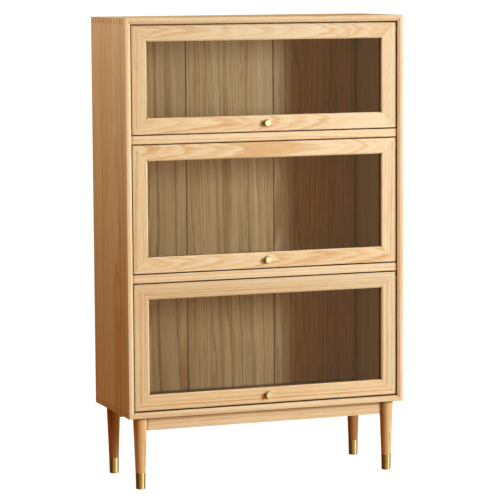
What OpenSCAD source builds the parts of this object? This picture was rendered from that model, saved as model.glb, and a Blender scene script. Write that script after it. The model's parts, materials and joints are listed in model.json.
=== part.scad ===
// Barrister bookcase in solid oak: three glazed doors, one above the other, each of which lifts on
// pivot pins and then slides back under the panel above it, on four turned legs with brass ferrules.
// Millimetres. +Z is up and the doors face -Y. The origin is on the floor, under the middle of the
// overall box, which reaches from the knobs to the back boards.

/* [Carcase] */
// Width across the side panels
cabinet_w = 900; // [800:10:1100]
// Depth from the front edge to the back, without the knobs
cabinet_d = 343; // [343:1:400]
// Thickness of the sides, the top and the bottom
panel_t = 18; // [18:1:22]
// Thickness of the shelves
shelf_t = 25; // [20:1:30]
// Clear height of the lower bay
lower_bay_h = 393; // [380:1:450]
// Clear height of the middle bay
middle_bay_h = 393; // [380:1:450]
// Clear height of the upper bay
upper_bay_h = 332; // [320:1:390]
// How far the doors and the shelves sit behind the front edge
setback = 9; // [6:0.5:10]
// Width of the bevel round the front opening
bevel_w = 9; // [6:0.5:12]
// Depth of the bevel round the front opening
bevel_d = 5; // [3:0.5:6]

/* [Corner joints] */
// Dovetail pins in each corner joint
pin_count = 12; // [6:1:12]
// Spacing of the pins
pin_pitch = 26.5; // [20:0.5:26.5]
// Width of a pin at the outer face
pin_narrow = 7; // [5:0.5:8]
// Width of a pin at the inner face
pin_wide = 10; // [8:0.5:12]

/* [Back boards] */
// Thickness of the back boards
back_t = 12; // [10:0.5:13]
// How far the boards lap onto the frame round them
back_lap = 8; // [8:0.5:10]

/* [Doors] */
// Width of the stiles and rails
frame_w = 48; // [44:1:56]
// Thickness of the door frames
door_t = 22; // [21:0.5:24]
// Gap at each side of a door
side_gap = 3.4; // [2:0.1:3.5]
// Gap over a door
top_gap = 3.6; // [3:0.1:4]
// Gap under a door
bottom_gap = 4; // [2:0.1:4]
// Thickness of the glass
glass_t = 4; // [3:1:5]
// How far the knobs stand out of the doors
knob_l = 15; // [14:1:24]
// Radius of the knob's head
knob_r = 9.5; // [8:0.5:10]

/* [Door motion] */
// Height of the pivot below the top edge of a door
pivot_drop = 22; // [20:0.5:22]
// Depth of the pivot behind the front face of a door
pivot_back = 10; // [9:0.5:11]
// Radius of the pivot pins
pivot_r = 3; // [2.5:0.5:3]
// Running clearance between a pin and its shoe, on the radius
pin_clearance = 0.05; // [0.02:0.01:0.1]

/* [Legs] */
// Height of the legs
leg_h = 220; // [150:1:260]
// Radius of a leg at its top
leg_top_r = 21.3; // [19:0.1:22]
// Radius of a leg at the top of its ferrule
leg_low_r = 15.2; // [14:0.1:17]
// Radius of a ferrule near the floor
foot_r = 14.2; // [13:0.1:16]
// Height of a ferrule
ferrule_h = 49; // [30:1:60]
// Distance from a side of the cabinet to the axis of a leg
leg_side = 44; // [40:1:60]
// Distance from the front of the cabinet to the axis of the front legs
leg_front = 32; // [30:1:60]
// Distance from the back of the cabinet to the axis of the back legs
leg_rear = 44; // [40:1:60]
// Height of the aprons
apron_h = 42; // [30:1:60]
// Thickness of the aprons
apron_t = 20; // [16:1:22]

/* [Hidden] */
$fn = 64;

LOWER = 0;
MIDDLE = 1;
UPPER = 2;
OAK = "burlywood";
OAK_DARK = "tan";
BRASS = "goldenrod";
STEEL = "silver";

// Faces of the carcase
out_x = cabinet_w / 2;
in_x = out_x - panel_t;
front_y = (knob_l - setback - cabinet_d) / 2;
back_y = front_y + cabinet_d;
face_y = front_y + setback;
board_y = back_y - back_t;
bay_h = [lower_bay_h, middle_bay_h, upper_bay_h];
floor_z = leg_h + panel_t;
ceiling_z = floor_z + bay_h[0] + bay_h[1] + bay_h[2] + 2 * shelf_t;
top_z = ceiling_z + panel_t;

// The bay's lowest level, counted from the lower bay
function bay_z(i) = i == 0 ? floor_z : bay_z(i - 1) + bay_h[i - 1] + shelf_t;

// Corner joints
mitre_d = 18;
first_pin = 29;

// Shelf housings
tongue_l = 6;
tongue_back = 18;

// Back boards
board_w = 2 * (in_x + back_lap) / 3;
board_gap = 0.6;
board_vee = 2;
board_tongue = 4;
board_play = 0.1;
screw_edge = 45;
screw_l = 30;
screw_r = 1.75;
screw_head_r = 3.5;
screw_head_h = 2.4;
slot_l = 4;
slot_w = 0.9;
slot_d = 1.2;

// Doors
door_x = in_x - side_gap;
sight_x = door_x - frame_w;
lip = 8;
glass_back = 9;
glass_play = 1;
sight_bevel_w = 4;
sight_bevel_d = 3;
bead_play = 0.2;
pin_in_stile = 18;
knob_screw_r = 2;
knob_screw_in = 9;
knob_screw_head_r = 4;
knob_screw_head_h = 2.4;
knob_screw_play = 0.25;

function door_z(i) = bay_z(i) + bottom_gap;
function door_top(i) = bay_z(i) + bay_h[i] - top_gap;
function pivot_z(i) = door_top(i) - pivot_drop;
pivot_y = face_y + pivot_back;

// Runners and shoes
runner_h = 16;
runner_d = 8;
runner_wall = 1.5;
runner_lead = 9;
shoe_front = 7.5;
shoe_l = 30;
shoe_play = 0.2;
shoe_recess = 0.3;
pin_end_play = 0.8;
runner_screw_r = 1.5;
runner_screw_head_r = 2.7;
runner_screw_head_h = 1.2;
runner_screw_l = 9;
runner_screw_y = [60, 180, 300];

// Legs
leg_x = out_x - leg_side;
front_leg_y = front_y + leg_front;
back_leg_y = back_y - leg_rear;
ferrule_t = 1.2;
ferrule_floor = 2;
apron_proud = 4;
front_apron_y = front_leg_y - apron_proud;
back_apron_y = back_leg_y + apron_proud - apron_t;
apron_tenon_t = 8;
apron_tenon_trim = 6;
apron_tenon_reach = 6;
bolt_r = 4;
bolt_in_leg = 38;
insert_r = 7;
insert_l = 16;

// ---- Shapes that the pieces share ----

module block(lo, hi) {
    translate(lo) cube(hi - lo);
}

// An outline in (y, z), drawn out from x0 to x1
module along_x(x0, x1, outline) {
    translate([x0, 0, 0]) rotate([90, 0, 90]) linear_extrude(x1 - x0) polygon(outline);
}

// An outline in (x, z), drawn out from y0 to y1
module along_y(y0, y1, outline) {
    translate([0, y1, 0]) rotate([90, 0, 0]) linear_extrude(y1 - y0) polygon(outline);
}

// A mitred bevel round a rectangular opening: w wide at y, running out to nothing at y + d
module opening_bevel(half_w, z0, z1, y, w, d) {
    over = 1;
    flare = w * (d + over) / d;
    intersection() {
        translate([0, 0, z0 - 2 * w]) linear_extrude(z1 - z0 + 4 * w) polygon([
            [-half_w - flare, y - over], [half_w + flare, y - over], [half_w, y + d], [-half_w, y + d]
        ]);
        along_x(-half_w - 2 * w, half_w + 2 * w, [
            [y - over, z0 - flare], [y + d, z0], [y + d, z1], [y - over, z1 + flare]
        ]);
    }
}

module front_bevel() {
    opening_bevel(in_x, floor_z, ceiling_z, front_y, bevel_w, bevel_d);
}

// The top's share of the left corner, or the bottom's: a mitre at the front and dovetail pins behind it
module corner_key(outer_z, inner_z) {
    along_y(front_y, front_y + mitre_d, [[-out_x, outer_z], [-in_x, outer_z], [-in_x, inner_z]]);
    for (i = [0 : pin_count - 1]) {
        pin_y = front_y + first_pin + i * pin_pitch;
        along_x(-out_x, -in_x, [
            [pin_y - pin_narrow / 2, outer_z], [pin_y + pin_narrow / 2, outer_z],
            [pin_y + pin_wide / 2, inner_z], [pin_y - pin_wide / 2, inner_z]
        ]);
    }
}

// The rebate that the back boards lie in
module back_rebate() {
    block([-in_x - back_lap, board_y, floor_z - back_lap],
          [in_x + back_lap, back_y + 1, ceiling_z + back_lap]);
}

// ---- Screws for the back boards ----

function board_x(b) = (b - 1) * board_w;
function level_screws(z) = [
    for (b = [0 : 2]) for (s = [-1, 1]) [board_x(b) + s * (board_w / 2 - screw_edge), z]
];
function side_screws(s) = [for (i = [0 : 2]) [s * (in_x + back_lap / 2), bay_z(i) + bay_h[i] / 2]];
bottom_screws = level_screws(floor_z - back_lap / 2);
lower_shelf_screws = level_screws(bay_z(MIDDLE) - shelf_t / 2);
upper_shelf_screws = level_screws(bay_z(UPPER) - shelf_t / 2);
top_screws = level_screws(ceiling_z + back_lap / 2);
all_back_screws = concat(
    bottom_screws, lower_shelf_screws, upper_shelf_screws, top_screws, side_screws(-1), side_screws(1)
);

module back_screw_bodies(points) {
    for (p = points) translate([p[0], back_y, p[1]]) rotate([90, 0, 0]) {
        cylinder(h = screw_head_h, r1 = screw_head_r, r2 = screw_r);
        cylinder(h = screw_l, r = screw_r);
    }
}

// ---- Carcase ----

module shelf_tongue(i) {
    block([-in_x - tongue_l, face_y + tongue_back, bay_z(i) - shelf_t], [-in_x, board_y, bay_z(i)]);
}

module runner_groove(i) {
    block([-in_x - runner_d, pivot_y - runner_lead, pivot_z(i) - runner_h / 2],
          [-in_x + 1, board_y, pivot_z(i) + runner_h / 2]);
}

module runner_screw_bodies(i) {
    web_x = -in_x - runner_d + runner_wall;
    for (y = runner_screw_y) translate([web_x, front_y + y, pivot_z(i)]) rotate([0, -90, 0]) {
        cylinder(h = runner_screw_head_h, r1 = runner_screw_head_r, r2 = runner_screw_r, $fn = 32);
        cylinder(h = runner_screw_l, r = runner_screw_r, $fn = 32);
    }
}

module side_panel() {
    difference() {
        block([-out_x, front_y, leg_h], [-in_x, back_y, top_z]);
        corner_key(top_z, ceiling_z);
        corner_key(leg_h, floor_z);
        front_bevel();
        back_rebate();
        shelf_tongue(MIDDLE);
        shelf_tongue(UPPER);
        for (i = [LOWER, MIDDLE, UPPER]) {
            runner_groove(i);
            runner_screw_bodies(i);
        }
        back_screw_bodies(side_screws(-1));
    }
}

module left_side_panel() {
    color(OAK) side_panel();
}

module right_side_panel() {
    color(OAK) mirror([1, 0, 0]) side_panel();
}

module end_panel(outer_z, inner_z, screws) {
    difference() {
        union() {
            block([-in_x, front_y, min(outer_z, inner_z)], [in_x, back_y, max(outer_z, inner_z)]);
            corner_key(outer_z, inner_z);
            mirror([1, 0, 0]) corner_key(outer_z, inner_z);
        }
        front_bevel();
        back_rebate();
        back_screw_bodies(screws);
    }
}

module top_panel() {
    color(OAK) end_panel(top_z, ceiling_z, top_screws);
}

module bottom_panel() {
    color(OAK) difference() {
        end_panel(leg_h, floor_z, bottom_screws);
        at_legs() translate([0, 0, leg_h - 1]) cylinder(h = insert_l + 1, r = insert_r);
    }
}

module shelf(i, screws) {
    difference() {
        union() {
            block([-in_x, face_y, bay_z(i) - shelf_t], [in_x, board_y, bay_z(i)]);
            shelf_tongue(i);
            mirror([1, 0, 0]) shelf_tongue(i);
        }
        back_screw_bodies(screws);
    }
}

module upper_shelf() {
    color(OAK) shelf(UPPER, upper_shelf_screws);
}

module lower_shelf() {
    color(OAK) shelf(MIDDLE, lower_shelf_screws);
}

// One of three tongued and grooved boards, with a V along each seam on the inside
module back_board(b) {
    z0 = floor_z - back_lap;
    z1 = ceiling_z + back_lap;
    mid_y = (board_y + back_y) / 2;
    half_tongue = board_tongue / 2;
    x0 = board_x(b) - board_w / 2 + (b > 0 ? board_gap / 2 : 0);
    x1 = board_x(b) + board_w / 2 - (b < 2 ? board_gap / 2 : 0);
    color(OAK_DARK) difference() {
        union() {
            block([x0, board_y, z0], [x1, back_y, z1]);
            if (b < 2) {
                block([x1 - board_tongue, mid_y - half_tongue, z0],
                      [x1 + board_tongue, mid_y + half_tongue, z1]);
            }
        }
        if (b > 0) {
            block([x0 - 1, mid_y - half_tongue - board_play, z0 - 1],
                  [x0 + board_tongue, mid_y + half_tongue + board_play, z1 + 1]);
            translate([0, 0, z0 - 1]) linear_extrude(z1 - z0 + 2) polygon([
                [x0 - 1, board_y - 1], [x0 + board_vee + 1, board_y - 1], [x0 - 1, board_y + board_vee + 1]
            ]);
        }
        if (b < 2) translate([0, 0, z0 - 1]) linear_extrude(z1 - z0 + 2) polygon([
            [x1 + 1, board_y - 1], [x1 + 1, board_y + board_vee + 1], [x1 - board_vee - 1, board_y - 1]
        ]);
        back_screw_bodies(all_back_screws);
    }
}

module back_board_left() {
    back_board(0);
}

module back_board_centre() {
    back_board(1);
}

module back_board_right() {
    back_board(2);
}

module back_screws() {
    color(STEEL) difference() {
        back_screw_bodies(all_back_screws);
        for (p = all_back_screws) for (turn = [0, 90]) {
            translate([p[0], back_y, p[1]]) rotate([0, turn, 0]) {
                block([-slot_l / 2, -slot_d, -slot_w / 2], [slot_l / 2, 1, slot_w / 2]);
            }
        }
    }
}

// ---- Legs and aprons ----

module at_legs() {
    for (s = [-1, 1]) for (y = [front_leg_y, back_leg_y]) translate([s * leg_x, y, 0]) children();
}

module leg_turning() {
    rotate_extrude() polygon([
        [0, ferrule_floor], [foot_r - ferrule_t, ferrule_floor], [leg_low_r - ferrule_t, ferrule_h],
        [leg_low_r, ferrule_h], [leg_top_r, leg_h], [0, leg_h]
    ]);
}

// The tenon at the left end of an apron, which lies from y0 to y0 + apron_t
module apron_tenon(y0) {
    mid_y = y0 + apron_t / 2;
    block([-leg_x + apron_tenon_reach, mid_y - apron_tenon_t / 2, leg_h - apron_h + apron_tenon_trim],
          [-leg_x + leg_top_r, mid_y + apron_tenon_t / 2, leg_h - apron_tenon_trim]);
}

module apron(leg_y, y0) {
    color(OAK) union() {
        difference() {
            block([-leg_x, y0, leg_h - apron_h], [leg_x, y0 + apron_t, leg_h]);
            for (s = [-1, 1]) translate([s * leg_x, leg_y, 0]) leg_turning();
        }
        apron_tenon(y0);
        mirror([1, 0, 0]) apron_tenon(y0);
    }
}

module front_apron() {
    apron(front_leg_y, front_apron_y);
}

module back_apron() {
    apron(back_leg_y, back_apron_y);
}

// A left leg, with its mortise and the bore for its hanger bolt
module leg(leg_y, apron_y) {
    color(OAK) difference() {
        translate([-leg_x, leg_y, 0]) leg_turning();
        apron_tenon(apron_y);
        translate([-leg_x, leg_y, leg_h - bolt_in_leg]) cylinder(h = bolt_in_leg + 1, r = bolt_r);
    }
}

module left_front_leg() {
    leg(front_leg_y, front_apron_y);
}

module right_front_leg() {
    mirror([1, 0, 0]) leg(front_leg_y, front_apron_y);
}

module left_back_leg() {
    leg(back_leg_y, back_apron_y);
}

module right_back_leg() {
    mirror([1, 0, 0]) leg(back_leg_y, back_apron_y);
}

// A brass cup over the turned-down end of a leg, with its lower edge rounded
module ferrule() {
    edge_r = ferrule_floor;
    edge = [for (a = [-90 : 15 : 0]) [foot_r - edge_r + edge_r * cos(a), edge_r + edge_r * sin(a)]];
    color(BRASS) rotate_extrude() polygon(concat([[0, 0]], edge, [
        [leg_low_r, ferrule_h], [leg_low_r - ferrule_t, ferrule_h],
        [foot_r - ferrule_t, ferrule_floor], [0, ferrule_floor]
    ]));
}

module left_front_ferrule() {
    translate([-leg_x, front_leg_y, 0]) ferrule();
}

module right_front_ferrule() {
    translate([leg_x, front_leg_y, 0]) ferrule();
}

module left_back_ferrule() {
    translate([-leg_x, back_leg_y, 0]) ferrule();
}

module right_back_ferrule() {
    translate([leg_x, back_leg_y, 0]) ferrule();
}

module leg_hanger_bolts() {
    color(STEEL) at_legs() translate([0, 0, leg_h - bolt_in_leg]) {
        cylinder(h = bolt_in_leg + insert_l, r = bolt_r);
    }
}

module leg_inserts() {
    color(BRASS) at_legs() translate([0, 0, leg_h]) difference() {
        cylinder(h = insert_l, r = insert_r);
        translate([0, 0, -1]) cylinder(h = insert_l + 2, r = bolt_r);
    }
}

// ---- Runners and shoes ----

// A U channel let into the left side panel, open towards the door
module runner(i) {
    half = runner_h / 2;
    color(STEEL) difference() {
        along_y(pivot_y - runner_lead, board_y, [
            [-in_x, pivot_z(i) - half], [-in_x, pivot_z(i) - half + runner_wall],
            [-in_x - runner_d + runner_wall, pivot_z(i) - half + runner_wall],
            [-in_x - runner_d + runner_wall, pivot_z(i) + half - runner_wall],
            [-in_x, pivot_z(i) + half - runner_wall], [-in_x, pivot_z(i) + half],
            [-in_x - runner_d, pivot_z(i) + half], [-in_x - runner_d, pivot_z(i) - half]
        ]);
        runner_screw_bodies(i);
    }
}

module lower_left_runner() {
    runner(LOWER);
}

module lower_right_runner() {
    mirror([1, 0, 0]) runner(LOWER);
}

module middle_left_runner() {
    runner(MIDDLE);
}

module middle_right_runner() {
    mirror([1, 0, 0]) runner(MIDDLE);
}

module upper_left_runner() {
    runner(UPPER);
}

module upper_right_runner() {
    mirror([1, 0, 0]) runner(UPPER);
}

module runner_screws() {
    color(STEEL) for (i = [LOWER, MIDDLE, UPPER]) for (m = [0, 1]) {
        mirror([m, 0, 0]) runner_screw_bodies(i);
    }
}

// The pair of sliding blocks that carry one door's pins
module shoes(i) {
    half = runner_h / 2 - runner_wall - shoe_play;
    web_x = -in_x - runner_d + runner_wall;
    color("ivory") for (m = [0, 1]) mirror([m, 0, 0]) difference() {
        block([web_x + shoe_play, pivot_y - shoe_front, pivot_z(i) - half],
              [-in_x - shoe_recess, pivot_y - shoe_front + shoe_l, pivot_z(i) + half]);
        translate([web_x - 1, pivot_y, pivot_z(i)]) rotate([0, 90, 0]) {
            cylinder(h = runner_d + 2, r = pivot_r + pin_clearance);
        }
    }
}

module lower_shoes() {
    shoes(LOWER);
}

module middle_shoes() {
    shoes(MIDDLE);
}

module upper_shoes() {
    shoes(UPPER);
}

// ---- Doors ----

// The left pin, pressed into the stile and reaching through the gap into the shoe
module pivot_pin(i) {
    pin_x = -in_x - runner_d + runner_wall + pin_end_play;
    translate([pin_x, pivot_y, pivot_z(i)]) rotate([0, 90, 0]) {
        cylinder(h = -door_x + pin_in_stile - pin_x, r = pivot_r);
    }
}

module knob_hole(i) {
    translate([0, face_y + door_t + 1, door_z(i) + frame_w / 2]) rotate([90, 0, 0]) {
        cylinder(h = door_t + 2, r = knob_screw_r + knob_screw_play, $fn = 32);
    }
}

// What every member of a door's frame loses: the pocket for the glass and the bevel round the opening
module door_pocket(i) {
    block([-sight_x - lip, face_y + glass_back, door_z(i) + frame_w - lip],
          [sight_x + lip, face_y + door_t + 1, door_top(i) - frame_w + lip]);
    opening_bevel(sight_x, door_z(i) + frame_w, door_top(i) - frame_w, face_y, sight_bevel_w, sight_bevel_d);
}

module door_rail(i, outer_z, inner_z) {
    color(OAK) difference() {
        along_y(face_y, face_y + door_t, [
            [-door_x, outer_z], [door_x, outer_z], [sight_x, inner_z], [-sight_x, inner_z]
        ]);
        door_pocket(i);
        if (inner_z > outer_z) knob_hole(i);
    }
}

module door_top_rail(i) {
    door_rail(i, door_top(i), door_top(i) - frame_w);
}

module door_bottom_rail(i) {
    door_rail(i, door_z(i), door_z(i) + frame_w);
}

module door_stile(i) {
    color(OAK) difference() {
        along_y(face_y, face_y + door_t, [
            [-door_x, door_z(i)], [-sight_x, door_z(i) + frame_w],
            [-sight_x, door_top(i) - frame_w], [-door_x, door_top(i)]
        ]);
        door_pocket(i);
        pivot_pin(i);
    }
}

module door_glass(i) {
    reach = lip - glass_play;
    color("lightblue", 0.35) block(
        [-sight_x - reach, face_y + glass_back, door_z(i) + frame_w - reach],
        [sight_x + reach, face_y + glass_back + glass_t, door_top(i) - frame_w + reach]
    );
}

// Four strips, mitred at the corners, that hold the glass in its pocket from behind
module door_beads(i) {
    y0 = face_y + glass_back + glass_t;
    y1 = face_y + door_t;
    low = door_z(i) + frame_w;
    high = door_top(i) - frame_w;
    mid = (low + high) / 2;
    color(OAK) {
        for (m = [0, 1]) translate([0, 0, mid]) mirror([0, 0, m]) along_y(y0, y1, [
            [-sight_x - lip + bead_play, low - lip - mid], [sight_x + lip - bead_play, low - lip - mid],
            [sight_x - bead_play, low - mid], [-sight_x + bead_play, low - mid]
        ]);
        for (m = [0, 1]) mirror([m, 0, 0]) along_y(y0, y1, [
            [-sight_x - lip, low - lip + bead_play], [-sight_x, low + bead_play],
            [-sight_x, high - bead_play], [-sight_x - lip, high + lip - bead_play]
        ]);
    }
}

// A turned knob: a flat-faced head on a tapering neck, tapped for its screw
module door_knob(i) {
    base_r = 6.5;
    base_l = 1.5;
    waist_r = 5.5;
    waist_l = 3.5;
    neck_r = 6;
    neck_l = knob_l - 9;
    head_l = knob_l - 6;
    chamfer_w = 0.5;
    chamfer_l = 0.8;
    edge_r = 1.5;
    edge = [for (a = [0 : 15 : 90]) [knob_r - edge_r + edge_r * cos(a), knob_l - edge_r + edge_r * sin(a)]];
    color(BRASS) translate([0, face_y, door_z(i) + frame_w / 2]) rotate([90, 0, 0]) difference() {
        rotate_extrude() polygon(concat(
            [[0, 0], [base_r, 0], [base_r, base_l], [waist_r, waist_l], [neck_r, neck_l]],
            [[knob_r - chamfer_w, head_l], [knob_r, head_l + chamfer_l]], edge, [[0, knob_l]]
        ));
        translate([0, 0, -1]) cylinder(h = knob_screw_in + 1, r = knob_screw_r, $fn = 32);
    }
}

module door_knob_screw(i) {
    head_h = knob_screw_head_h;
    color(STEEL) translate([0, face_y + door_t, door_z(i) + frame_w / 2]) rotate([90, 0, 0]) difference() {
        union() {
            translate([0, 0, -head_h]) cylinder(h = head_h, r = knob_screw_head_r, $fn = 32);
            cylinder(h = door_t + knob_screw_in, r = knob_screw_r, $fn = 32);
        }
        for (turn = [0, 90]) rotate([0, 0, turn]) {
            block([-slot_l / 2, -slot_w / 2, -head_h - 1], [slot_l / 2, slot_w / 2, -head_h + slot_d]);
        }
    }
}

module door_pivot_pins(i) {
    color(STEEL) for (m = [0, 1]) mirror([m, 0, 0]) pivot_pin(i);
}

module lower_door_top_rail() {
    door_top_rail(LOWER);
}

module lower_door_bottom_rail() {
    door_bottom_rail(LOWER);
}

module lower_door_left_stile() {
    door_stile(LOWER);
}

module lower_door_right_stile() {
    mirror([1, 0, 0]) door_stile(LOWER);
}

module lower_door_glass() {
    door_glass(LOWER);
}

module lower_door_beads() {
    door_beads(LOWER);
}

module lower_door_knob() {
    door_knob(LOWER);
}

module lower_door_knob_screw() {
    door_knob_screw(LOWER);
}

module lower_door_pivot_pins() {
    door_pivot_pins(LOWER);
}

module middle_door_top_rail() {
    door_top_rail(MIDDLE);
}

module middle_door_bottom_rail() {
    door_bottom_rail(MIDDLE);
}

module middle_door_left_stile() {
    door_stile(MIDDLE);
}

module middle_door_right_stile() {
    mirror([1, 0, 0]) door_stile(MIDDLE);
}

module middle_door_glass() {
    door_glass(MIDDLE);
}

module middle_door_beads() {
    door_beads(MIDDLE);
}

module middle_door_knob() {
    door_knob(MIDDLE);
}

module middle_door_knob_screw() {
    door_knob_screw(MIDDLE);
}

module middle_door_pivot_pins() {
    door_pivot_pins(MIDDLE);
}

module upper_door_top_rail() {
    door_top_rail(UPPER);
}

module upper_door_bottom_rail() {
    door_bottom_rail(UPPER);
}

module upper_door_left_stile() {
    door_stile(UPPER);
}

module upper_door_right_stile() {
    mirror([1, 0, 0]) door_stile(UPPER);
}

module upper_door_glass() {
    door_glass(UPPER);
}

module upper_door_beads() {
    door_beads(UPPER);
}

module upper_door_knob() {
    door_knob(UPPER);
}

module upper_door_knob_screw() {
    door_knob_screw(UPPER);
}

module upper_door_pivot_pins() {
    door_pivot_pins(UPPER);
}

// ---- Assembly ----

left_side_panel();
right_side_panel();
top_panel();
bottom_panel();
upper_shelf();
lower_shelf();
back_board_left();
back_board_centre();
back_board_right();
back_screws();
front_apron();
back_apron();
left_front_leg();
right_front_leg();
left_back_leg();
right_back_leg();
left_front_ferrule();
right_front_ferrule();
left_back_ferrule();
right_back_ferrule();
leg_hanger_bolts();
leg_inserts();
lower_left_runner();
lower_right_runner();
middle_left_runner();
middle_right_runner();
upper_left_runner();
upper_right_runner();
runner_screws();
lower_shoes();
middle_shoes();
upper_shoes();
lower_door_top_rail();
lower_door_bottom_rail();
lower_door_left_stile();
lower_door_right_stile();
lower_door_glass();
lower_door_beads();
lower_door_knob();
lower_door_knob_screw();
lower_door_pivot_pins();
middle_door_top_rail();
middle_door_bottom_rail();
middle_door_left_stile();
middle_door_right_stile();
middle_door_glass();
middle_door_beads();
middle_door_knob();
middle_door_knob_screw();
middle_door_pivot_pins();
upper_door_top_rail();
upper_door_bottom_rail();
upper_door_left_stile();
upper_door_right_stile();
upper_door_glass();
upper_door_beads();
upper_door_knob();
upper_door_knob_screw();
upper_door_pivot_pins();
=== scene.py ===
"""The barrister bookcase: eased oak boards, clear panes, brass and steel, in a pale studio."""

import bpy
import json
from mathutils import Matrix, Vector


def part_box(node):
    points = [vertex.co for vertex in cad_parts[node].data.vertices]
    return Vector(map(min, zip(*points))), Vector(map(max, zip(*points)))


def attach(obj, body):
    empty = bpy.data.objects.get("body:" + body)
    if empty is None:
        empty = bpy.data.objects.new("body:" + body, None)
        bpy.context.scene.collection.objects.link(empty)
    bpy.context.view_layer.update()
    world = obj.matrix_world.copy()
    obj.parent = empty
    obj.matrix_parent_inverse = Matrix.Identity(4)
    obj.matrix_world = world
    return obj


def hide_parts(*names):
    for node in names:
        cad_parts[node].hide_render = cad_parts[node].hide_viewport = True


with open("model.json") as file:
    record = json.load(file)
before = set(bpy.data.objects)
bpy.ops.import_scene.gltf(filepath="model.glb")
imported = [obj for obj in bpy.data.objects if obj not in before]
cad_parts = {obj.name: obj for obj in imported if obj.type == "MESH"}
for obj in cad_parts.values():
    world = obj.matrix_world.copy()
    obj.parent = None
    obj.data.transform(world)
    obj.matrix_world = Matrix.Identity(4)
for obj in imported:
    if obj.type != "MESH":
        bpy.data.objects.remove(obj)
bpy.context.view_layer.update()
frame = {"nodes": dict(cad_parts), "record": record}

import json
import math

import bmesh
import bpy
from mathutils import Vector
from mathutils.bvhtree import BVHTree

MM = 0.001
X, Y, Z = range(3)
NODES = frame["nodes"]
RECORD = frame["record"]
BODY_OF = {n: body for body, members in RECORD["behaviour"]["bodies"].items() for n in members}
SLOT_OF = {row["node"]: row["material_slot"] for row in RECORD["subparts"]}


def srgb(red, green, blue):
    """A colour given in display values from 0 to 255, as linear values with alpha."""
    def linear(value):
        value /= 255
        return value / 12.92 if value <= 0.04045 else ((value + 0.055) / 1.055) ** 2.4
    return (linear(red), linear(green), linear(blue), 1.0)


# ---- Camera ----

VIEW_AZIMUTH = math.radians(-20.52)
VIEW_ELEVATION = math.radians(6.29)
VIEW_DISTANCE = 7.955
VIEW_ROLL = math.radians(-0.34)
VIEW_HEIGHT = 0.698
VIEW_CENTRE = Vector((0.003, -0.0035, VIEW_HEIGHT))
LENS = 184
FAR_CLIP = 1000


def towards(azimuth, elevation, distance, centre):
    """A point that far from the centre, in the direction of an azimuth and an elevation."""
    flat = distance * math.cos(elevation)
    rise = distance * math.sin(elevation)
    return centre + Vector((flat * math.sin(azimuth), -flat * math.cos(azimuth), rise))


def look_at(thing, target, roll=0.0):
    direction = (target - thing.location).to_track_quat("-Z", "Y")
    thing.rotation_euler = direction.to_euler()
    thing.rotation_euler.rotate_axis("Z", roll)


def make_camera():
    camera = bpy.data.objects.new("camera", bpy.data.cameras.new("camera"))
    camera.data.lens = LENS
    camera.data.clip_end = FAR_CLIP
    camera.location = towards(VIEW_AZIMUTH, VIEW_ELEVATION, VIEW_DISTANCE, VIEW_CENTRE)
    look_at(camera, VIEW_CENTRE, VIEW_ROLL)
    bpy.context.scene.collection.objects.link(camera)
    bpy.context.scene.camera = camera


# ---- Node helpers ----

def add(tree, kind, inputs=None, **settings):
    """A node with its settings, each input linked to a socket or set to a value."""
    node = tree.nodes.new(kind)
    for name, value in settings.items():
        setattr(node, name, value)
    for name, value in (inputs or {}).items():
        if isinstance(value, bpy.types.NodeSocket):
            tree.links.new(value, node.inputs[name])
        else:
            node.inputs[name].default_value = value
    return node


def maths(tree, operation, *values, clamp=False):
    inputs = dict(enumerate(values))
    return add(tree, "ShaderNodeMath", inputs, operation=operation, use_clamp=clamp).outputs[0]


def ramp(tree, factor, stops):
    """The factor through a ramp whose stops are (place, value) pairs."""
    node = add(tree, "ShaderNodeValToRGB", {"Fac": factor})
    elements = node.color_ramp.elements
    while len(elements) < len(stops):
        elements.new(0.5)
    for element, (place, value) in zip(elements, stops):
        element.position = place
        element.color = (value, value, value, 1)
    return node.outputs["Color"]


def vector(tree, *parts):
    return add(tree, "ShaderNodeCombineXYZ", dict(enumerate(parts))).outputs[0]


def noise(tree, place, scale, detail=2.0, output="Fac"):
    """Noise at a place, whose three scales stretch it along the axes."""
    stretched = add(tree, "ShaderNodeVectorMath", {0: place, 1: scale}, operation="MULTIPLY").outputs[0]
    inputs = {"Vector": stretched, "Scale": 1.0, "Detail": detail}
    return add(tree, "ShaderNodeTexNoise", inputs).outputs[output]


def centred(tree, value, size):
    """A value from 0 to 1 as one from -size to size."""
    return maths(tree, "MULTIPLY_ADD", value, 2 * size, -size)


def mix_colours(tree, factor, first, second, blend="MIX"):
    node = add(tree, "ShaderNodeMix", data_type="RGBA", blend_type=blend)
    for socket, value in ((node.inputs[0], factor), (node.inputs[6], first), (node.inputs[7], second)):
        if isinstance(value, bpy.types.NodeSocket):
            tree.links.new(value, socket)
        else:
            socket.default_value = value
    return node.outputs[2]


def new_material(name):
    material = bpy.data.materials.new(name)
    material.use_nodes = True
    material.node_tree.nodes.clear()
    return material


def finish_material(material, inputs, bump=None, bump_size=0.0001, bump_strength=0.5):
    """A Principled shader on the material, with those inputs and a bump from a height."""
    tree = material.node_tree
    inputs = dict(inputs)
    if bump is not None:
        inputs["Normal"] = add(
            tree, "ShaderNodeBump", {"Strength": bump_strength, "Distance": bump_size, "Height": bump}
        ).outputs[0]
    shader = add(tree, "ShaderNodeBsdfPrincipled", inputs)
    add(tree, "ShaderNodeOutputMaterial", {"Surface": shader.outputs[0]})
    return material


# ---- Oak ----

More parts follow.
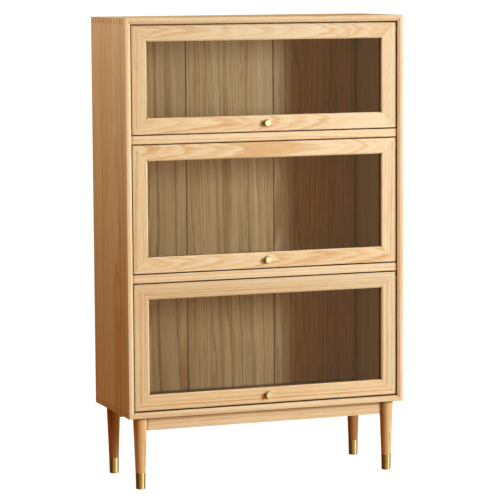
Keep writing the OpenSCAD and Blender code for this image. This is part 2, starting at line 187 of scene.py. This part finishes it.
PALE_OAK = srgb(232, 203, 162)
LINE_OAK = srgb(214, 160, 102)
# Painted shade: the back legs take darker colours than the front ones for the shade they lie in, though
# all four are the same oak
LEG_COLOURS_SHADED_AT_BACK = {
    "front": (srgb(228, 188, 134), srgb(203, 144, 84)),
    "back": (srgb(180, 128, 76), srgb(146, 86, 40)),
}
# The back boards' colours were set to their look in the dim bays behind the glass, so besides the
# boards' own tone they hold painted light and shade
BACK_PALE = srgb(244, 205, 148)
BACK_LINE = srgb(190, 130, 70)
END_SHADE = (0.70, 0.56, 0.42, 1)
PORE_SHADE = (0.35, 0.22, 0.12, 1)
GLUE_SHADE = (0.3, 0.2, 0.1, 1)
# Painted shade: the near-black brown that gaps and inner corners take in the oak's base colour, and how
# far the occlusion looks for them
PAINTED_GAP_SHADE = (0.07, 0.014, 0.002, 1)
PAINTED_SHADE_REACH = 0.010
GLUE_WIDTH = 0.0004
SEED_STEP = 17.13
STRIP_SHIFT = 3.7
REFRACTION = 1.5


def oak_figure():
    """The growth rings of a log, as a board cut from it shows them.

    A place is given along the board's grain, across its face and into it.
    """
    tree = bpy.data.node_groups.new("oak_figure", "ShaderNodeTree")
    sockets = tree.interface
    sockets.new_socket("Place", in_out="INPUT", socket_type="NodeSocketVector")
    for name in ("End", "Seed", "Strip", "Ring", "Offset", "Depth", "Tilt", "Wander", "Spread"):
        sockets.new_socket(name, in_out="INPUT", socket_type="NodeSocketFloat")
    sockets.new_socket("Pale", in_out="INPUT", socket_type="NodeSocketColor")
    sockets.new_socket("Line", in_out="INPUT", socket_type="NodeSocketColor")
    sockets.new_socket("Colour", in_out="OUTPUT", socket_type="NodeSocketColor")
    sockets.new_socket("Height", in_out="OUTPUT", socket_type="NodeSocketFloat")
    sockets.new_socket("Roughness", in_out="OUTPUT", socket_type="NodeSocketFloat")
    given = add(tree, "NodeGroupInput").outputs
    along, across, into = add(tree, "ShaderNodeSeparateXYZ", {0: given["Place"]}).outputs

    # Glued strips: each is a board of its own, from another part of a log
    strip = maths(tree, "FLOOR", maths(tree, "ADD", maths(tree, "DIVIDE", across, given["Strip"]), 0.5))
    strip_middle = maths(tree, "MULTIPLY", strip, given["Strip"])
    strip_seed = maths(tree, "MULTIPLY_ADD", given["Seed"], SEED_STEP, strip)
    chances = add(tree, "ShaderNodeTexWhiteNoise", {"W": strip_seed}, noise_dimensions="1D")
    first, second, third = add(tree, "ShaderNodeSeparateColor", {0: chances.outputs["Color"]}).outputs

    # Where the board lies in the log, with the log's own bends
    shift = maths(tree, "MULTIPLY", strip_seed, STRIP_SHIFT)
    place = vector(tree, maths(tree, "ADD", along, shift), maths(tree, "ADD", across, shift), into)
    bends = noise(tree, place, (1.5, 5.0, 5.0), 2.0, "Color")
    bend_1, bend_2, _ = add(tree, "ShaderNodeSeparateColor", {0: bends}).outputs
    ripple = centred(tree, noise(tree, place, (7.0, 60.0, 60.0), 2.0), 0.0016)
    ragged = centred(tree, noise(tree, place, (14.0, 420.0, 420.0), 2.0), 0.0022)
    side = maths(tree, "SUBTRACT", across, strip_middle)
    side = maths(tree, "SUBTRACT", side, given["Offset"])
    scatter = maths(tree, "MULTIPLY", maths(tree, "SUBTRACT", first, 0.5), given["Spread"])
    side = maths(tree, "SUBTRACT", side, scatter)
    side = maths(tree, "MULTIPLY_ADD", maths(tree, "SUBTRACT", bend_1, 0.5), given["Wander"], side)
    deep = maths(tree, "MULTIPLY_ADD", given["Tilt"], along, into)
    depth = maths(tree, "MULTIPLY", given["Depth"], maths(tree, "ADD", second, 0.5))
    deep = maths(tree, "ADD", deep, depth)
    deep = maths(tree, "MULTIPLY_ADD", maths(tree, "SUBTRACT", bend_2, 0.5), given["Wander"], deep)
    squares = maths(tree, "ADD", maths(tree, "POWER", side, 2.0), maths(tree, "POWER", deep, 2.0))
    from_pith = maths(tree, "SQRT", squares)
    from_pith = maths(tree, "ADD", from_pith, maths(tree, "ADD", ripple, ragged))

    # Rings of uneven width, each dark and open at its start and dense at its end
    years = maths(tree, "DIVIDE", from_pith, given["Ring"])
    inputs = {"W": maths(tree, "ADD", years, strip_seed), "Scale": 0.45}
    uneven = add(tree, "ShaderNodeTexNoise", inputs, noise_dimensions="1D")
    years = maths(tree, "MULTIPLY_ADD", uneven.outputs["Fac"], 3.0, years)
    year = maths(tree, "FLOOR", years)
    season = maths(tree, "FRACT", years)
    strength = add(tree, "ShaderNodeTexWhiteNoise", {"W": year}, noise_dimensions="1D").outputs["Value"]
    strength = maths(tree, "MULTIPLY_ADD", strength, 0.65, 0.35)
    early = ramp(tree, season, ((0.0, 0.10), (0.12, 1.0), (0.35, 0.80), (0.65, 0.22), (1.0, 0.05)))
    ring = maths(tree, "MULTIPLY", early, strength)

    # Pores and fibres
    pores = ramp(tree, noise(tree, place, (16.0, 1100.0, 1100.0), 1.0), ((0.56, 0.0), (0.66, 1.0)))
    pores = maths(tree, "MULTIPLY", pores, maths(tree, "MULTIPLY_ADD", ring, 0.8, 0.2))
    fibres = noise(tree, place, (2.5, 210.0, 210.0), 3.0)
    cloud = noise(tree, place, (1.4, 9.0, 9.0), 2.0)

    amount = maths(tree, "MULTIPLY", ring, 0.95)
    amount = maths(tree, "ADD", amount, centred(tree, fibres, 0.34))
    amount = maths(tree, "ADD", amount, centred(tree, cloud, 0.42), clamp=True)
    colour = mix_colours(tree, amount, given["Pale"], given["Line"])
    colour = mix_colours(tree, maths(tree, "MULTIPLY", pores, 0.5), colour, PORE_SHADE, "MULTIPLY")
    tone = maths(tree, "MULTIPLY_ADD", third, 0.16, 0.90)
    colour = mix_colours(tree, 1.0, colour, vector(tree, tone, tone, tone), "MULTIPLY")
    edge = maths(tree, "DIVIDE", maths(tree, "SUBTRACT", across, strip_middle), given["Strip"])
    glue_line = maths(tree, "SUBTRACT", 0.5, maths(tree, "DIVIDE", GLUE_WIDTH, given["Strip"]))
    glue = maths(tree, "GREATER_THAN", maths(tree, "ABSOLUTE", edge), glue_line)
    colour = mix_colours(tree, maths(tree, "MULTIPLY", glue, 0.4), colour, GLUE_SHADE, "MULTIPLY")
    colour = mix_colours(tree, given["End"], colour, END_SHADE, "MULTIPLY")

    hollows = maths(tree, "ADD", pores, maths(tree, "MULTIPLY", ring, 0.35))
    height = maths(tree, "SUBTRACT", maths(tree, "MULTIPLY", fibres, 0.3), hollows)
    rough = maths(tree, "MULTIPLY_ADD", pores, 0.20, maths(tree, "MULTIPLY_ADD", fibres, 0.12, 0.50))
    add(tree, "NodeGroupOutput", {"Colour": colour, "Height": height, "Roughness": rough})
    return tree


class Board:
    """How a board is cut: the axes along its grain and across its face, and its figure."""

    def __init__(self, along, across, strip=9.0, ring=5.0, offset=0.0, depth=80.0, tilt=0.03,
                 wander=24.0, spread=0.0, pale=PALE_OAK, line=LINE_OAK):
        self.along, self.across = along, across
        self.into = ({X, Y, Z} - {along, across}).pop()
        self.sizes = {
            "Strip": strip, "Ring": ring * MM, "Offset": offset * MM, "Depth": depth * MM,
            "Tilt": tilt, "Wander": wander * MM, "Spread": spread * MM, "Pale": pale, "Line": line,
        }


def openness_for_painted_shade(tree):
    """How open a place is, from 0 deep in a gap to 1 on a free face: the mask for the shade painted
    into gaps and inner corners.
    """
    shade = add(tree, "ShaderNodeAmbientOcclusion", {"Distance": PAINTED_SHADE_REACH}, samples=6)
    return ramp(tree, shade.outputs["AO"], ((0.25, 0.0), (0.65, 0.14), (0.86, 0.72), (0.96, 1.0)))


def oak(name, board, centre, seed, figure):
    """Oak for one board, whose middle is at that centre."""
    material = new_material("oak_" + name)
    tree = material.node_tree
    coordinates = add(tree, "ShaderNodeTexCoord").outputs
    inputs = {0: coordinates["Object"], 1: centre}
    place = add(tree, "ShaderNodeVectorMath", inputs, operation="SUBTRACT").outputs[0]
    parts = add(tree, "ShaderNodeSeparateXYZ", {0: place}).outputs
    facing = add(tree, "ShaderNodeSeparateXYZ", {0: coordinates["Normal"]}).outputs[board.along]
    end = ramp(tree, maths(tree, "ABSOLUTE", facing), ((0.75, 0.0), (0.95, 1.0)))
    cut = vector(tree, parts[board.along], parts[board.across], parts[board.into])
    drawn = add(tree, "ShaderNodeGroup", node_tree=figure)
    for key, value in {"Place": cut, "End": end, "Seed": seed, **board.sizes}.items():
        if isinstance(value, bpy.types.NodeSocket):
            tree.links.new(value, drawn.inputs[key])
        else:
            drawn.inputs[key].default_value = value
    # Painted shade: the base colour turns near-black where the occlusion finds a gap or inner corner,
    # standing in for the shade that falls there
    colour = mix_colours(tree, openness_for_painted_shade(tree), PAINTED_GAP_SHADE, drawn.outputs["Colour"])
    surface = {
        "Base Color": colour,
        "Roughness": drawn.outputs["Roughness"],
        "IOR": REFRACTION,
        "Specular IOR Level": 0.25,
    }
    return finish_material(
        material, surface, bump=drawn.outputs["Height"], bump_size=0.0002, bump_strength=0.35
    )


# ---- Other materials ----

def scaled_place(tree, scale, detail):
    return noise(tree, add(tree, "ShaderNodeTexCoord").outputs["Object"], scale, detail)


def metal(name, bright, dull, grain, roughness, spread, anisotropy=0.0, depth=0.3):
    """Brushed metal, whose brush marks are noise stretched by those scales."""
    material = new_material(name)
    tree = material.node_tree
    marks = scaled_place(tree, grain, 3.0)
    stains = scaled_place(tree, (60, 60, 60), 3.0)
    colour = mix_colours(tree, ramp(tree, stains, ((0.35, 0.0), (0.7, 1.0))), bright, dull)
    rough = maths(tree, "MULTIPLY_ADD", marks, spread, roughness - spread / 2)
    surface = {"Base Color": colour, "Metallic": 1.0, "Roughness": rough, "Anisotropic": anisotropy}
    return finish_material(material, surface, bump=marks, bump_size=0.00005, bump_strength=depth)


def nylon(name):
    material = new_material(name)
    tree = material.node_tree
    clouds = scaled_place(tree, (90, 90, 90), 4.0)
    colour = mix_colours(tree, clouds, srgb(228, 224, 212), srgb(206, 200, 184))
    rough = maths(tree, "MULTIPLY_ADD", scaled_place(tree, (700, 700, 700), 2.0), 0.2, 0.35)
    return finish_material(material, {"Base Color": colour, "Roughness": rough}, bump=clouds)


def window_glass(name):
    """A clear pane: what is behind it shows through, with the mirror image that the angle gives."""
    material = new_material(name)
    tree = material.node_tree
    smears = ramp(tree, scaled_place(tree, (3.0, 3.0, 5.0), 3.0), ((0.3, 0.0), (0.8, 0.02)))
    clear = add(tree, "ShaderNodeBsdfTransparent", {"Color": (0.955, 0.965, 0.955, 1)})
    gloss = add(tree, "ShaderNodeBsdfGlossy", {"Color": (1, 1, 1, 1), "Roughness": smears})
    share = add(tree, "ShaderNodeFresnel", {"IOR": REFRACTION}).outputs[0]
    pane = add(tree, "ShaderNodeMixShader", {0: share, 1: clear.outputs[0], 2: gloss.outputs[0]})
    add(tree, "ShaderNodeOutputMaterial", {"Surface": pane.outputs[0]})
    return material


# ---- Boards with eased edges ----

EASE_SEGMENTS = 3
SHARP = math.radians(28)
FLAT = math.radians(0.4)
FLUSH = 0.0003


def neighbours(name):
    """A search tree of each CAD node whose box meets this one's."""
    low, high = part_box(name)
    near = []
    for other in NODES:
        other_low, other_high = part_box(other)
        meets = all(
            other_low[axis] < high[axis] + FLUSH and low[axis] < other_high[axis] + FLUSH
            for axis in (X, Y, Z)
        )
        if meets and other != name:
            near.append(SEARCH_TREES[other])
    return near


def is_covered(point, normal, near):
    """True if another piece lies flush on the face at this point."""
    start = point - normal * FLUSH / 3
    return any(tree.ray_cast(start, normal, FLUSH)[0] is not None for tree in near)


def shows(edge, near):
    """True if the edge is a sharp outside corner, and no piece lies on either of its faces there."""
    if len(edge.link_faces) != 2 or not edge.is_convex or edge.calc_face_angle(0) < SHARP:
        return False
    middle = (edge.verts[0].co + edge.verts[1].co) / 2
    line = (edge.verts[1].co - edge.verts[0].co).normalized()
    for face in edge.link_faces:
        inwards = face.normal.cross(line)
        if (face.calc_center_median() - middle).dot(inwards) < 0:
            inwards.negate()
        if is_covered(middle + inwards * FLUSH, face.normal, near):
            return False
    return True


def eased(name, width):
    """A copy of a CAD node's shape with the edges that show rounded over."""
    shape = bmesh.new()
    shape.from_mesh(NODES[name].data)
    bmesh.ops.remove_doubles(shape, verts=shape.verts, dist=FLUSH / 30)
    bmesh.ops.dissolve_limit(shape, angle_limit=FLAT, verts=shape.verts, edges=shape.edges)
    near = neighbours(name)
    edges = [edge for edge in shape.edges if shows(edge, near)]
    bmesh.ops.bevel(
        shape, geom=edges, offset=width * MM, offset_type="OFFSET", segments=EASE_SEGMENTS,
        profile=0.5, affect="EDGES", clamp_overlap=True,
    )
    for edge in shape.edges:
        edge.smooth = len(edge.link_faces) == 2 and edge.calc_face_angle(0) < SHARP
    for face in shape.faces:
        face.smooth = True
    mesh = bpy.data.meshes.new(name + "_eased")
    shape.to_mesh(mesh)
    shape.free()
    return mesh


def eased_piece(name, width, material):
    """A piece that stands for a CAD node, with its edges rounded over."""
    piece = bpy.data.objects.new("eased_" + name, eased(name, width))
    bpy.context.scene.collection.objects.link(piece)
    piece.data.materials.append(material)
    shading = piece.modifiers.new("shading", "WEIGHTED_NORMAL")
    shading.keep_sharp = True
    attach(piece, BODY_OF[name])
    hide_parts(name)
    return piece


def search_tree(mesh):
    return BVHTree.FromPolygons([v.co for v in mesh.vertices], [p.vertices for p in mesh.polygons])


SEARCH_TREES = {name: search_tree(thing.data) for name, thing in NODES.items()}


def boards():
    """Every oak node with its cut and the width of its eased edges in millimetres."""
    upright = Board(Z, Y, strip=0.057, ring=4.2, depth=150, spread=160, tilt=0.004)
    level = Board(X, Y, strip=0.0572, ring=4.5, depth=120, spread=120, tilt=0.01)
    shelf = Board(X, Y, strip=0.06, ring=4.5, depth=90, spread=120, tilt=0.01)
    apron = Board(X, Z, ring=3.5, offset=60, depth=70, tilt=0.01)
    back = Board(
        Z, X, strip=0.049, ring=6.0, depth=90, spread=130, tilt=0.01, pale=BACK_PALE, line=BACK_LINE
    )
    cuts = {
        "left_side_panel": (upright, 1.2),
        "right_side_panel": (upright, 1.2),
        "top_panel": (level, 1.2),
        "bottom_panel": (level, 1.2),
        "upper_shelf": (shelf, 0.8),
        "lower_shelf": (shelf, 0.8),
        "front_apron": (apron, 1.0),
        "back_apron": (apron, 1.0),
        "back_board_left": (back, 0.5),
        "back_board_centre": (back, 0.5),
        "back_board_right": (back, 0.5),
    }
    for side in ("left", "right"):
        for end in ("front", "back"):
            # The back legs take the darker colours, which are painted shade
            pale, line = LEG_COLOURS_SHADED_AT_BACK[end]
            leg = Board(Z, X, ring=4.5, offset=38, depth=60, tilt=0.03, pale=pale, line=line)
            cuts[f"{side}_{end}_leg"] = (leg, 0.8)
    straight = {"ring": 6.5, "offset": 80, "depth": 30, "tilt": 0.004, "wander": 7.0}
    arched = {"ring": 5.0, "offset": 6, "depth": 60, "tilt": 0.045, "wander": 26.0}
    rift = {"ring": 4.2, "offset": 65, "depth": 55, "tilt": 0.02, "wander": 22.0}
    figures = {"lower": (straight, straight), "middle": (arched, rift), "upper": (arched, rift)}
    for row, (rails, stiles) in figures.items():
        for part in ("top", "bottom"):
            cuts[f"{row}_door_{part}_rail"] = (Board(X, Z, **rails), 0.7)
        for part in ("left", "right"):
            cuts[f"{row}_door_{part}_stile"] = (Board(Z, X, **stiles), 0.7)
        cuts[f"{row}_door_beads"] = (Board(X, Z, ring=4.0, offset=40, depth=60), 0.5)
    return cuts


def dress_boards():
    figure = oak_figure()
    for seed, (name, (board, width)) in enumerate(boards().items(), start=1):
        low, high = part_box(name)
        eased_piece(name, width, oak(name, board, (low + high) / 2, seed, figure))


# What metal() takes for each slot: two colours, the scales of the marks, roughness and its spread,
# and for some the anisotropy and the depth of the marks
METALS = {
    "ferrule_brass": (
        (0.88, 0.67, 0.31, 1), (0.74, 0.53, 0.22, 1), (20, 20, 900), 0.24, 0.08, 0.2, 0.1
    ),
    "knob_brass": ((0.72, 0.57, 0.29, 1), (0.66, 0.50, 0.23, 1), (700, 300, 700), 0.50, 0.12),
    "insert_brass": ((0.76, 0.54, 0.25, 1), (0.60, 0.42, 0.18, 1), (90, 90, 900), 0.35, 0.2),
    "steel": ((0.62, 0.62, 0.60, 1), (0.48, 0.48, 0.46, 1), (400, 400, 400), 0.34, 0.2),
    "runner_aluminium": (
        (0.74, 0.74, 0.75, 1), (0.62, 0.62, 0.63, 1), (900, 12, 900), 0.36, 0.2, 0.4
    ),
}


def dress_metal_and_glass():
    finishes = {name: metal(name, *settings) for name, settings in METALS.items()}
    finishes["shoe_nylon"] = nylon("shoe_nylon")
    finishes["glass"] = window_glass("window_glass")
    for name, thing in NODES.items():
        material = finishes.get(SLOT_OF[name])
        if material:
            thing.data.materials.clear()
            thing.data.materials.append(material)


# ---- Studio ----

FLOOR_HALF = 400
FLOOR_GLOW = 0.97

# The light that comes from each side of the room, by azimuth in degrees
ROOM_LIGHT = {90: (1.38, 1.36, 0.74, 1), -90: (0.385, 0.175, 0.020, 1), 0: (0.204, 0.03, 0, 1)}

# Each lamp: azimuth and elevation in degrees, distance, width, height, power and colour
LAMPS = {
    "key_light": (40, 12, 4.5, 1.4, 1.4, 226, (0.70, 0.87, 1.02)),
    "side_light": (-80, 45, 2.0, 0.8, 0.8, 10.5, (0.90, 1.0, 1.0)),
    "top_light": (0, 88, 3.0, 1.5, 1.5, 14, (1.0, 0.97, 0.92)),
}


def plain_floor():
    shape = bmesh.new()
    bmesh.ops.create_grid(shape, x_segments=8, y_segments=8, size=FLOOR_HALF)
    mesh = bpy.data.meshes.new("studio_floor")
    shape.to_mesh(mesh)
    shape.free()
    floor = bpy.data.objects.new("studio_floor", mesh)
    bpy.context.scene.collection.objects.link(floor)
    material = new_material("studio_floor")
    tree = material.node_tree
    clouds = scaled_place(tree, (0.6, 0.6, 0.6), 2.0)
    colour = mix_colours(tree, clouds, (0.20, 0.20, 0.20, 1), (0.24, 0.24, 0.24, 1))
    matt = add(tree, "ShaderNodeBsdfDiffuse", {"Color": colour})
    glow = add(tree, "ShaderNodeEmission", {"Color": (1, 1, 1, 1), "Strength": FLOOR_GLOW})
    both = add(tree, "ShaderNodeAddShader", {0: matt.outputs[0], 1: glow.outputs[0]})
    add(tree, "ShaderNodeOutputMaterial", {"Surface": both.outputs[0]})
    mesh.materials.append(material)
    floor.visible_diffuse = False
    floor.visible_glossy = False


def soft_light(name, azimuth, elevation, distance, width, height, power, colour):
    lamp = bpy.data.lights.new(name, "AREA")
    lamp.shape = "RECTANGLE"
    lamp.size, lamp.size_y = width, height
    lamp.energy = power
    lamp.color = colour
    light = bpy.data.objects.new(name, lamp)
    bpy.context.scene.collection.objects.link(light)
    centre = Vector((0, 0, VIEW_HEIGHT))
    light.location = towards(math.radians(azimuth), math.radians(elevation), distance, centre)
    look_at(light, centre)
    light.visible_camera = False


def glow_towards(tree, direction, azimuth, elevation, narrow):
    """A soft round patch of light in the sky, brightest in that direction."""
    centre = towards(math.radians(azimuth), math.radians(elevation), 1.0, Vector((0, 0, 0)))
    near = add(tree, "ShaderNodeVectorMath", {0: direction, 1: centre}, operation="DOT_PRODUCT")
    return maths(tree, "POWER", maths(tree, "MAXIMUM", near.outputs["Value"], 0.0), narrow)


def surroundings():
    """A room lit from the right, and for mirror images a dim one with a pale patch low on the right."""
    world = bpy.data.worlds.new("studio")
    bpy.context.scene.world = world
    world.use_nodes = True
    tree = world.node_tree
    tree.nodes.clear()
    direction = add(tree, "ShaderNodeTexCoord").outputs["Generated"]
    room = (0, 0, 0, 1)
    for azimuth, colour in ROOM_LIGHT.items():
        part = glow_towards(tree, direction, azimuth, 0, 1.0)
        room = mix_colours(tree, 1.0, room, mix_colours(tree, part, (0, 0, 0, 1), colour), "ADD")
    broad = glow_towards(tree, direction, 30, -5, 1.0)
    shine = mix_colours(tree, broad, (0.10, 0.05, 0.015, 1), (0.62, 0.46, 0.25, 1))
    patch = glow_towards(tree, direction, 50, -14, 45.0)
    shine = mix_colours(tree, patch, shine, (2.9, 2.7, 2.3, 1))
    rays = add(tree, "ShaderNodeLightPath").outputs
    light = mix_colours(tree, rays["Is Glossy Ray"], room, shine)
    lit = add(tree, "ShaderNodeBackground", {"Color": light}).outputs[0]
    pale = add(tree, "ShaderNodeBackground", {"Color": (1, 1, 1, 1)}).outputs[0]
    both = add(tree, "ShaderNodeMixShader", {0: rays["Is Camera Ray"], 1: lit, 2: pale})
    add(tree, "ShaderNodeOutputWorld", {"Surface": both.outputs[0]})


def make_studio():
    plain_floor()
    surroundings()
    for name, settings in LAMPS.items():
        soft_light(name, *settings)
    bpy.context.scene.view_settings.view_transform = "Standard"


make_camera()
dress_boards()
dress_metal_and_glass()
make_studio()
